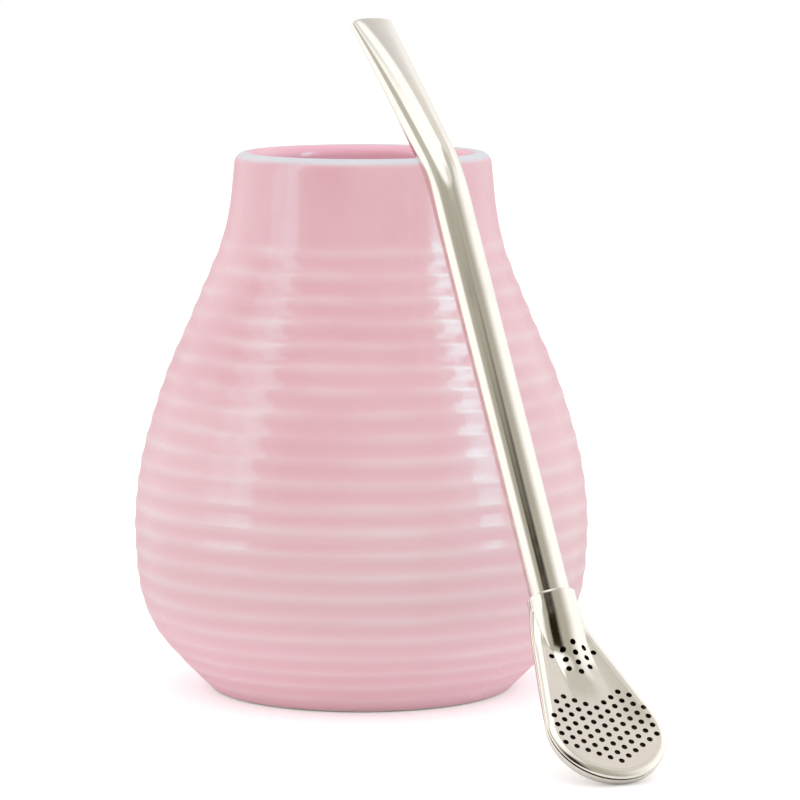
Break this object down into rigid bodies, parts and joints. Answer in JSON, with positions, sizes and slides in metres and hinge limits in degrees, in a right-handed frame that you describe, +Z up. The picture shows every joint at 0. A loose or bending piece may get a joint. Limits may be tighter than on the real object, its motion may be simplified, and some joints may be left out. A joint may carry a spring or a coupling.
{
  "type": "mate cup with metal straw",
  "caption": "Round-bellied glazed ceramic cup with thrown ridges and a rolled lip, empty, with a metal filter straw standing in front and leaning on the lip.",
  "frame": {"origin": "centre of the cup's flat foot, on the table", "axes": "+Z up the cup's axis; -Y is the front that the picture shows; +X to the right of it"},
  "size_m": [0.1088, 0.1564, 0.144],
  "materials": {
    "cup": "gloss pink glaze",
    "straw_tube": "polished stainless steel",
    "strainer_front": "polished stainless steel",
    "strainer_back": "polished stainless steel"
  },
  "bodies": {
    "root": {"cup": "cup", "straw_tube": "straw_tube", "strainer_front": "strainer_front", "strainer_back": "strainer_back"}
  },
  "joints": []
}
